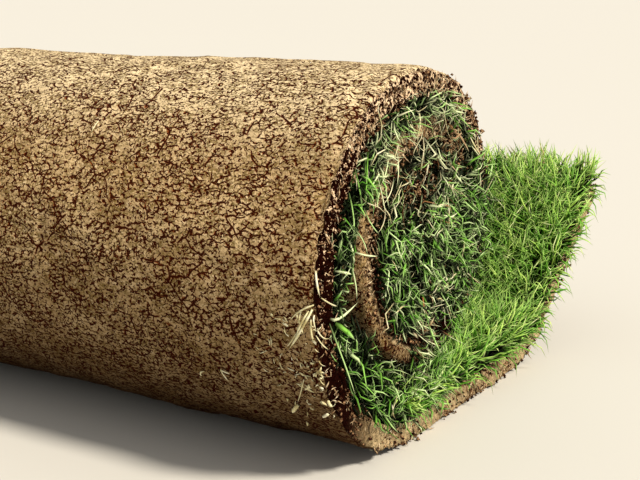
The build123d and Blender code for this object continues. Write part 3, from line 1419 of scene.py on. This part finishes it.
        # Paler tints over the edge are painted light; the patches and the dryness are the grass's own tone
        drier_and_lit = 0.12 * patch + 0.24 * lit_over_edge + 0.85 * dry * rng.uniform(0, 1, count)
        length = np.where(over, rng.uniform(7, 19, count), rng.uniform(10, 25, count))
        strands = Strands(
            roots=roots,
            growth=growth,
            lean=square_to(growth, pull),
            length=length * (1 - 0.45 * loose) * (1 + 0.3 * at_foot) * MM,
            bend=rng.uniform(0.4, 2.6, count),
            width=self.blade_width * rng.uniform(0.45, 0.88, count) * broad,
            tint=np.clip(rng.beta(1.1, 1.4, count) * 0.62 + drier_and_lit, 0, 1),
            wave=rng.normal(0, 0.07, count),
            keel=0.35,
        )

        # Pressed between its own mat and the next turn, but in front of the cut over both of them
        lines = strands.middle_lines()
        level_up = dot(lines - roots[:, None, :], inward[:, None, :])
        in_front = np.clip((sense * lines[..., :1] - strip.half + 2 * MM) / (6 * MM), 0, 1)
        over_next = (6 + 14 * inner + 12 * at_foot) * (1 - hugging) * MM
        free = np.maximum(room - depth, 2 * MM)[:, None, None] + in_front * over_next[:, None, None]
        pressed = free * np.tanh(level_up / free)
        over_cut = np.where(s > strip.second_turn, 8 * MM, 4 * MM) + 16 * MM * inner
        sunk = np.maximum(depth + over_cut, 4 * MM)[:, None, None]
        pressed = np.where(level_up > 0, pressed, sunk * np.tanh(level_up / sunk))
        lines = lines + (pressed - level_up) * inward[:, None, :]
        share = (depth[:, None] + pressed[..., 0]) / room[:, None]
        held = hugging[:, None]
        limit = self.overhang * (1 - held) + (13 - 21 * share) * MM * held + strip.half
        lines[..., 0] = sense * np.minimum(sense * lines[..., 0], limit)
        lines = self.hold_back(lines)

        # How much painted light it gets: painted shade among the others, more light beside bare soil and
        # over an edge, less in the inner turns
        open_air = smooth_step(sense * lines[..., 0] - strip.half, -3 * MM, 7 * MM)
        beside_skin = held * (1 - smooth_step(share, 0.5, 0.9))
        in_light = np.maximum(np.maximum(lit_over_edge, at_foot), 0.8 * dry)
        beside_skin = np.maximum(beside_skin, in_light[:, None])
        open_air = np.maximum(open_air, beside_skin * np.array(strands.steps))
        least = 0.12 + 0.33 * in_light[:, None]
        open_air = open_air * (least + (1 - least) * rng.beta(0.9, 0.45, (count, 1)))
        open_air = open_air * (1 - 0.13 * (inner * (1 - dry))[:, None])
        return strands.build(end.piece("grass"), lines, open_air)


@dataclass(frozen=True)
class Fibre:
    """A kind of strand that hangs out of a cut end, by the ranges that its sizes are drawn from.

    out is how far it points away from the cut, and droop how strongly it bends back. Lengths and
    widths are in millimetres, and bends in radians.
    """

    out: tuple[float, float]
    droop: float
    length: tuple[float, float]
    bend: tuple[float, float]
    width: tuple[float, float]
    wave: float
    keel: float
    steps: tuple[float, ...] = Strands.steps
    taper: tuple[float, ...] = Strands.taper


ROOT = Fibre(
    out=(0.1, 0.45),
    droop=0.9,
    length=(3, 9),
    bend=(0.3, 1.6),
    width=(0.55, 1.15),
    wave=0.06,
    keel=0.5,
    steps=(0.0, 0.5, 1.0),
    taper=(1.0, 0.8),
)

STRAW = Fibre(
    out=(0.0, 0.35), droop=0.5, length=(8, 22), bend=(0.1, 0.9), width=(0.5, 1.0), wave=0.05, keel=0.4
)


@dataclass
class Litter:
    """Roots and crumbs on the cut soil, straw in the thatch, and what lies loose at the near end."""

    strip: WoundStrip
    sward: Sward
    root_count: int = 1900
    crumb_count: int = 1500
    straw_count: int = 200
    chip_count: int = 110
    heap_share: float = 0.45

    def build_roots(self, end: End) -> bpy.types.Object:
        """Makes fine pale roots that hang out of the cut soil, mostly across its thickness.

        Args:
            end: Which end.

        Returns:
            The mesh object.
        """
        strip = self.strip
        rng = end.random(61)
        count = self.root_count
        s = rng.uniform(-strip.tail, strip.wound, count * 2)
        s = s[rng.uniform(0, 1, count * 2) > 0.85 * self.sward.inner(s)][:count]
        depth = rng.uniform(1.0, strip.soil / MM, count) * MM
        x = end.value * (strip.half - rng.uniform(0.0, 2.0, count) * MM)
        inwards = (depth < 5 * MM) | (rng.uniform(0, 1, count) < 0.5)
        heading = rng.normal(0, 0.9, count) + np.where(inwards, 0, np.pi)
        return self.hang(end.piece("roots"), ROOT, rng, (s, x, depth), heading)

    def build_straw(self, end: End) -> bpy.types.Object:
        """Makes dead stalks that lie across the cut end, in any direction.

        Args:
            end: Which end.

        Returns:
            The mesh object.
        """
        strip = self.strip
        rng = end.random(65)
        count = self.straw_count
        s = rng.uniform(-20 * MM, strip.wound, count * 3)
        s = s[rng.uniform(0, 1, count * 3) > 0.85 * self.sward.hugging(s)][:count]
        depth = strip.soil + rng.uniform(0, 1, count) * strip.gap(s)
        x = end.value * (strip.half + rng.uniform(-4, 5, count) * MM)
        heading = rng.uniform(0, 2 * np.pi, count)
        return self.hang(end.piece("straw"), STRAW, rng, (s, x, depth), heading)

    def hang(
        self,
        name: str,
        kind: Fibre,
        rng: np.random.Generator,
        places: tuple[np.ndarray, np.ndarray, np.ndarray],
        heading: np.ndarray,
    ) -> bpy.types.Object:
        """Makes strands of one kind that hang out of a cut end.

        Args:
            name: Name of the object.
            kind: Their ranges.
            rng: Source of the random numbers.
            places: Where they start: along the strip, across it and in depth.
            heading: Direction on the cut: 0 towards the grass, and a quarter turn along the strip.

        Returns:
            The mesh object.
        """
        s, x, depth = places
        count = len(s)
        across, ahead, inward = self.strip.axes(s)
        outside = across * np.sign(x)[:, None]
        flat = turned_from(inward, ahead, heading)
        growth = unit(flat + outside * rng.uniform(*kind.out, (count, 1)))
        pull = rng.normal(0, 0.7, (count, 3)) - outside * kind.droop
        strands = Strands(
            roots=self.strip.place(s, x, depth),
            growth=growth,
            lean=square_to(growth, pull),
            length=rng.uniform(*kind.length, count) * MM,
            bend=rng.uniform(*kind.bend, count),
            width=rng.uniform(*kind.width, count) * MM,
            tint=rng.beta(1.5, 1.5, count),
            wave=rng.normal(0, kind.wave, count),
            keel=kind.keel,
            steps=kind.steps,
            taper=kind.taper,
        )
        return strands.build(name, self.sward.hold_back(strands.middle_lines()))

    def build_crumbs(self, end: End) -> bpy.types.Object:
        """Makes crumbs of soil that cling to the cut, each an octahedron with its corners moved.

        Args:
            end: Which end.

        Returns:
            The mesh object.
        """
        strip = self.strip
        rng = end.random(63)
        count = self.crumb_count
        s = rng.uniform(-strip.tail, strip.wound, count)
        depth = rng.uniform(0.5, strip.soil / MM + 1.5, count) * MM
        x = end.value * (strip.half + rng.uniform(-0.8, 1.6, count) * MM)
        size = rng.uniform(0.5, 1.5, (count, 1, 1)) * MM
        corners = np.concatenate([np.eye(3), -np.eye(3)]) * rng.uniform(0.6, 1.3, (count, 6, 1))
        corners = corners + rng.normal(0, 0.18, corners.shape)
        points = strip.place(s, x, depth)[:, None, :] + corners * size
        points[..., 2] = np.maximum(points[..., 2], 0.0)
        faces = [(0, 1, 2), (1, 3, 2), (3, 4, 2), (4, 0, 2), (1, 0, 5), (3, 1, 5), (4, 3, 5), (0, 4, 5)]
        triangles = np.arange(count)[:, None, None] * 6 + np.array(faces)
        return make_mesh(end.piece("crumbs"), points.reshape(-1, 3), triangles=triangles.reshape(-1, 3))

    def build_placed(self, name: str, placed: tuple[LooseStrand, ...], facing: Facing) -> bpy.types.Object:
        """Makes listed strands, each a parabola through its three places.

        Args:
            name: Name of the object.
            placed: The strands.
            facing: Which way they show their flat side.

        Returns:
            The mesh object.
        """
        strip = self.strip
        places = np.array([(strand.first, strand.middle, strand.last) for strand in placed]) * MM
        t = np.linspace(0, 1, 6)[None, :, None]
        first, middle, last = np.split(places, 3, axis=1)
        curve = first * (1 - t) * (1 - 2 * t) + middle * 4 * t * (1 - t) + last * t * (2 * t - 1)
        lines = strip.place(curve[..., 0], strip.half + curve[..., 2], curve[..., 1])
        across, _, inward = strip.axes(places[:, 1, 0])
        strands = Strands(
            roots=lines[:, 0],
            growth=unit(lines[:, -1] - lines[:, 0]),
            lean=across if facing is Facing.OUT_OF_CUT else -inward,
            length=np.ones(len(placed)),
            bend=np.ones(len(placed)),
            width=np.array([strand.width for strand in placed]) * MM,
            tint=np.array([strand.tint for strand in placed]),
            wave=np.zeros(len(placed)),
            keel=0.2 if facing is Facing.OUT_OF_CUT else 0.5,
            steps=tuple(t.ravel()),
            taper=(0.7, 1.0, 0.9, 1.0, 0.6),
        )
        return strands.build(name, lines)

    def build_chips(self) -> bpy.types.Object:
        """Makes short pale curls of root and stem that stick to the skin below the torn runners.

        Returns:
            The mesh object.
        """
        strip = self.strip
        rng = np.random.default_rng(68)
        count = self.chip_count

        # Nearly half lie in a heap low on the barrel, and the rest below the runners
        in_heap = rng.uniform(0, 1, count) < self.heap_share
        s = np.where(in_heap, rng.normal(122, 7, count), 150 - np.abs(rng.normal(0, 36, count))) * MM
        inset = np.abs(np.where(in_heap, rng.normal(0, 17, count), rng.normal(0, 14, count)))
        x = strip.half - inset * MM
        across, ahead, inward = strip.axes(s)
        heading = rng.uniform(0, 2 * np.pi, count)
        growth = unit(turned_from(across, ahead, heading) - 0.15 * inward)
        pull = rng.normal(0, 1, (count, 1)) * across + rng.normal(0, 1, (count, 1)) * ahead + 0.3 * inward
        strands = Strands(
            roots=strip.place(s, x, np.full(count, -0.5 * MM)),
            growth=growth,
            lean=square_to(growth, pull),
            length=rng.uniform(1.5, 5.0, count) * MM,
            bend=rng.uniform(0.3, 2.4, count),
            width=rng.uniform(0.6, 1.5, count) * MM,
            tint=rng.beta(1.5, 1.5, count),
            wave=np.zeros(count),
            keel=0.4,
        )
        return strands.build("chips_near_rim", strands.middle_lines())


# Studio


@dataclass
class Studio:
    """Pale floor, one soft sun in pale surroundings, and the camera at the photograph's angle."""

    near_end_centre: tuple[float, float, float] = (205 * MM, -71 * MM, 106 * MM)
    fit_radius: float = 94 * MM
    camera_offset: tuple[float, float, float] = (2.957, -5.780, 1.510)
    view: tuple[float, float, float] = (-0.5134, 0.8300, -0.2181)
    right: tuple[float, float, float] = (0.8504, 0.5261, 0.0)
    lens_mm: float = 67.5
    sensor_mm: float = 36.0
    floor_half: float = 12.0
    floor_colour: str = "d6d3cc"
    floor_roughness: float = 0.8
    surroundings: str = "f6f5f1"
    surroundings_strength: float = 0.52
    sun_from: tuple[float, float, float] = (1.0, 0.0, 1.0)
    sun_colour: str = "fff6e6"
    sun_power: float = 4.35
    sun_spread: float = math.radians(10)

    def build(self) -> None:
        """Makes the camera, the floor, the sun and the pale surroundings."""
        bpy.context.scene.view_settings.view_transform = "Standard"
        self.make_camera()
        self.make_floor()
        self.make_lights()

    @staticmethod
    def set_up(
        data: bpy.types.Camera | bpy.types.Light, right: np.ndarray, back: np.ndarray, spot: np.ndarray
    ) -> bpy.types.Object:
        """Puts a camera or a light into the scene.

        Args:
            data: The camera or the light.
            right: Unit vector to its right.
            back: Unit vector away from what it looks at or shines on.
            spot: Where it stands.

        Returns:
            The object.
        """
        thing = bpy.data.objects.new(data.name, data)
        bpy.context.scene.collection.objects.link(thing)
        matrix = np.eye(4)
        matrix[:3] = np.stack([right, np.cross(back, right), back, spot], -1)
        thing.matrix_world = Matrix(matrix.tolist())
        return thing

    def make_camera(self) -> None:
        """Places the camera by the fit: so many radii of the roll from its near end's centre."""
        data = bpy.data.cameras.new("camera")
        data.lens = self.lens_mm
        data.sensor_width = self.sensor_mm
        data.clip_start = 0.01
        data.clip_end = 50.0
        spot = np.array(self.near_end_centre) + self.fit_radius * np.array(self.camera_offset)
        camera = self.set_up(data, unit(np.array(self.right)), -unit(np.array(self.view)), spot)
        bpy.context.scene.camera = camera

    def make_floor(self) -> None:
        """Makes a wide, plain, pale floor."""
        corners = [(-1, -1, 0), (1, -1, 0), (1, 1, 0), (-1, 1, 0)]
        floor = make_mesh("floor", np.array(corners) * self.floor_half, np.array([[0, 1, 2, 3]]))
        finish = Finish("pale_floor")
        finish.shader.inputs["Base Color"].default_value = linear(self.floor_colour)
        finish.shader.inputs["Roughness"].default_value = self.floor_roughness
        floor.data.materials.append(finish.material)

    def make_lights(self) -> None:
        """Makes the even pale surroundings and one soft sun, which lights the whole floor evenly."""
        world = bpy.data.worlds.new("pale_surroundings")
        world.use_nodes = True
        background = world.node_tree.nodes["Background"]
        background.inputs["Color"].default_value = linear(self.surroundings)
        background.inputs["Strength"].default_value = self.surroundings_strength
        bpy.context.scene.world = world
        data = bpy.data.lights.new("key", "SUN")
        data.energy = self.sun_power
        data.angle = self.sun_spread
        data.color = linear(self.sun_colour)[:3]
        back = unit(np.array(self.sun_from))
        self.set_up(data, unit(np.cross(np.array([0.0, 1.0, 0.0]), back)), back, np.zeros(3))


def main() -> None:
    """Builds the pieces in order, dresses them and sets up the studio."""
    logging.basicConfig(level=logging.INFO, format="%(name)s %(message)s")
    strip = WoundStrip()
    Studio().build()

    put_on_part(RootMat(strip).build(), RootedSoil().make(), "soil", "root_mat")

    sward = Sward(strip)
    # Thatch is dead leaf and stem, matt, and painted nearly black between the blades as painted shade
    thatch = MottledFinish("thatch_in_painted_shade", "060702", "100f05", "2c2410", grain_mm=2.4).make()
    put_on_part(sward.build_bed(), thatch, "grass", "sward")
    leaf = GrassBlade().make()
    # In the open the same leaf is coloured yellower, as painted light shining through it
    backlit_leaf = GrassBlade("ryegrass_leaf_painted_backlit", fresh="6cb030", pale="bade62", tip="d8ec98").make()

    # One piece would have too many triangles, so the blades of the open end are two
    split = 60 * MM
    edge = strip.half - MM
    near_part = sward.build_open_end("grass_open_end_near", 41, inner=split, outer=edge, crowding=0.4)
    put_on_part(near_part, backlit_leaf, "grass")
    far_part = sward.build_open_end("grass_open_end_far", 45, inner=-edge, outer=split, crowding=0.0)
    put_on_part(far_part, backlit_leaf, "grass")
    for end in End:
        put_on_part(sward.build_cut(end), leaf, "grass")

    litter = Litter(strip, sward)
    # Roots are pale and dull, brown where soil clings to them
    root = MottledFinish("root_fibre", "6b4630", "b89a74", "ecdcbc", 3.0, roughness=0.8, bump_mm=0.2)
    # A crumb of loam is wet inside and dries pale on its corners
    crumb = MottledFinish("loam_crumb", "120200", "2e1208", "c49a70", 2.2, roughness=0.95, bump_mm=0.3)
    # Dead stalks and runners are bleached, smooth and dry
    stalk = MottledFinish("bleached_stalk", "b8a874", "e2daac", "f8f2d8", 6.0, roughness=0.6, bump_mm=0.1)
    root, crumb, stalk = root.make(), crumb.make(), stalk.make()
    for end in End:
        put_on_part(litter.build_roots(end), root, "soil")
        put_on_part(litter.build_crumbs(end), crumb, "soil")
        put_on_part(litter.build_straw(end), stalk, "grass")
    put_on_part(litter.build_placed("runners_near_rim", RUNNERS, Facing.OFF_SKIN), stalk, "grass")
    put_on_part(litter.build_chips(), stalk, "grass")
    put_on_part(litter.build_placed("leaves_near_end", LEAVES, Facing.OUT_OF_CUT), leaf, "grass")


if __name__ == "__main__":
    main()
